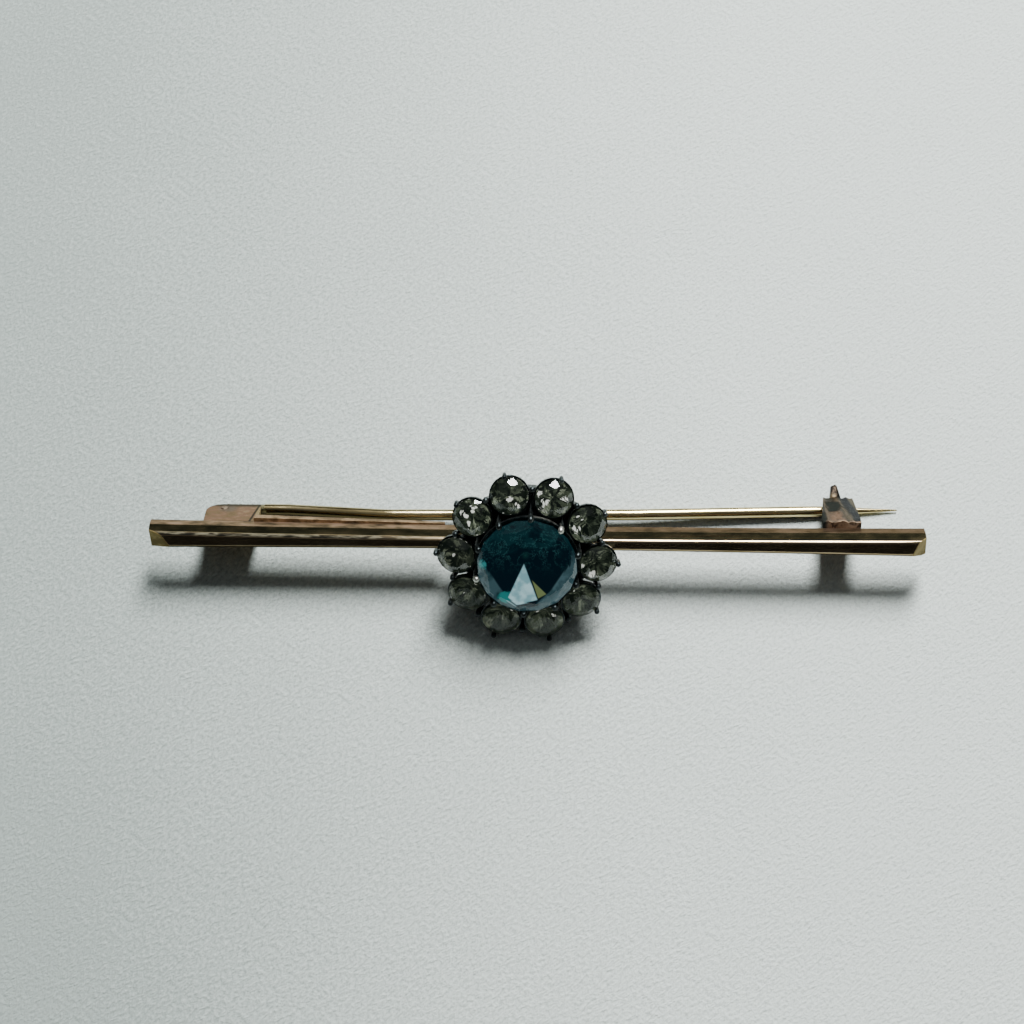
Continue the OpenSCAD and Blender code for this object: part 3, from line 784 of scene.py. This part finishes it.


# Small stones: ten clear ones in a ring round the blue one, cut as it is and tilted a little
# outwards in their cups. They are numbered anticlockwise from the right, and the lowest are dull.
# Their pavilions glow with painted reflections and painted bright patches.
class SmallStone:
    # Radius of their ring, N of their girdles, their tilt, the first one's angle, and their radius
    ring, ring_n, lean, first, radius = 4.58, 2.25, radians(14), radians(-3), 1.23
    # Sectors round a stone and bands over its radius, in which its facets lie
    sectors, bands = 16, 3
    tint = (0.90, 0.94, 0.92)
    # Index and gloss of the bright stones and of the dull ones, which begin at first_dull
    bright, dull, first_dull = (1.75, 0.5), (1.36, 0.25), 7
    # Painted reflections of its facets, as stops of a ramp, and the colour of its painted bright patches
    darkest = (0.36, (0.004, 0.007, 0.005))
    lighter = ((0.52, (0.018, 0.025, 0.017)), (0.66, (0.058, 0.072, 0.048)), (0.80, (0.25, 0.28, 0.20)))
    patch = (0.9, 0.92, 0.84)
    # How light each stone's painted reflections look, and its painted bright patches as places across
    # and upward and a radius
    looks = (
        (0.85, ((-0.80, -0.12, 0.26), (-0.29, -0.70, 0.24))),
        (1.0, ((-0.59, -0.27, 0.34), (-0.40, 0.30, 0.18))),
        (1.1, ((-0.75, 0.30, 0.26), (-0.46, -0.25, 0.24), (0.55, -0.06, 0.2))),
        (1.0, ((0.0, -0.30, 0.30), (0.45, -0.55, 0.16))),
        (1.1, ((0.0, 0.36, 0.2), (-0.43, 0.06, 0.24), (-0.2, -0.45, 0.2))),
        (0.6, ((-0.2, -0.1, 0.18),)),
        (0.65, ((0.35, 0.35, 0.12), (-0.3, -0.2, 0.1))),
        (0.6, ((0.6, 0.45, 0.13),)),
        (0.7, ((-0.35, 0.4, 0.14), (0.5, 0.1, 0.1))),
        (0.75, ((-0.3, 0.35, 0.16),)))


def dimmed(colour, light):
    """A colour times how light a stone looks."""
    return tuple(part * light for part in colour)


for number, (light, patches) in enumerate(SmallStone.looks, 1):
    angle = SmallStone.first + 2 * pi * (number - 1) / len(SmallStone.looks)
    round_the_ring = Matrix.Translation((BlueStone.x, 0, 0)) @ Matrix.Rotation(angle, 4, "Z")
    in_its_cup = (Matrix.Translation((SmallStone.ring, 0, SmallStone.ring_n))
                  @ Matrix.Rotation(SmallStone.lean, 4, "Y"))
    clear = Finish("clear stone %d" % number, held=laid @ round_the_ring @ in_its_cup)
    drift = clear.noise(0.5) - 0.5
    x, u = clear.x + 0.5 * drift, clear.u - 0.4 * drift
    sector = u.bearing(x) * (SmallStone.sectors / (2 * pi))
    off_middle = abs(sector - floor(sector) - 0.5) * 2
    band = (x * x + u * u) ** 0.5 * (SmallStone.bands / SmallStone.radius) + 0.7 * off_middle
    own_pattern = 3.7 * (number - 1)
    facet = clear.node(
        "ShaderNodeCombineXYZ", {}, {0: floor(sector), 1: floor(band), 2: own_pattern})
    chance = clear.node("ShaderNodeTexWhiteNoise", {"noise_dimensions": "3D"}, {"Vector": facet}, "Value")
    mottled = clear.noise(0.35, detail=4)
    ragged = clear.noise(0.28, detail=2, stretch=(1.5, 0.8, 1))
    lighter = [(share, dimmed(colour, light)) for share, colour in SmallStone.lighter]
    painted_facet_light = clear.ramp(chance * 0.45 + mottled * 0.55, [SmallStone.darkest, *lighter])
    for across, upward, size in patches:
        centre = (cos(angle) * across + sin(angle) * upward, cos(angle) * upward - sin(angle) * across)
        lit = clear.spot(clear.x, clear.u, centre, size * 1.3, soft=1) + 2.2 * (ragged - 0.5)
        painted_facet_light = clear.mix(lit.clipped(0.50, 0.62), painted_facet_light, dimmed(SmallStone.patch, light))
    index, gloss = SmallStone.bright if number < SmallStone.first_dull else SmallStone.dull
    dress(clear, frame["nodes"]["stone_%d" % number], painted_facet_light, SmallStone.tint, index, gloss)
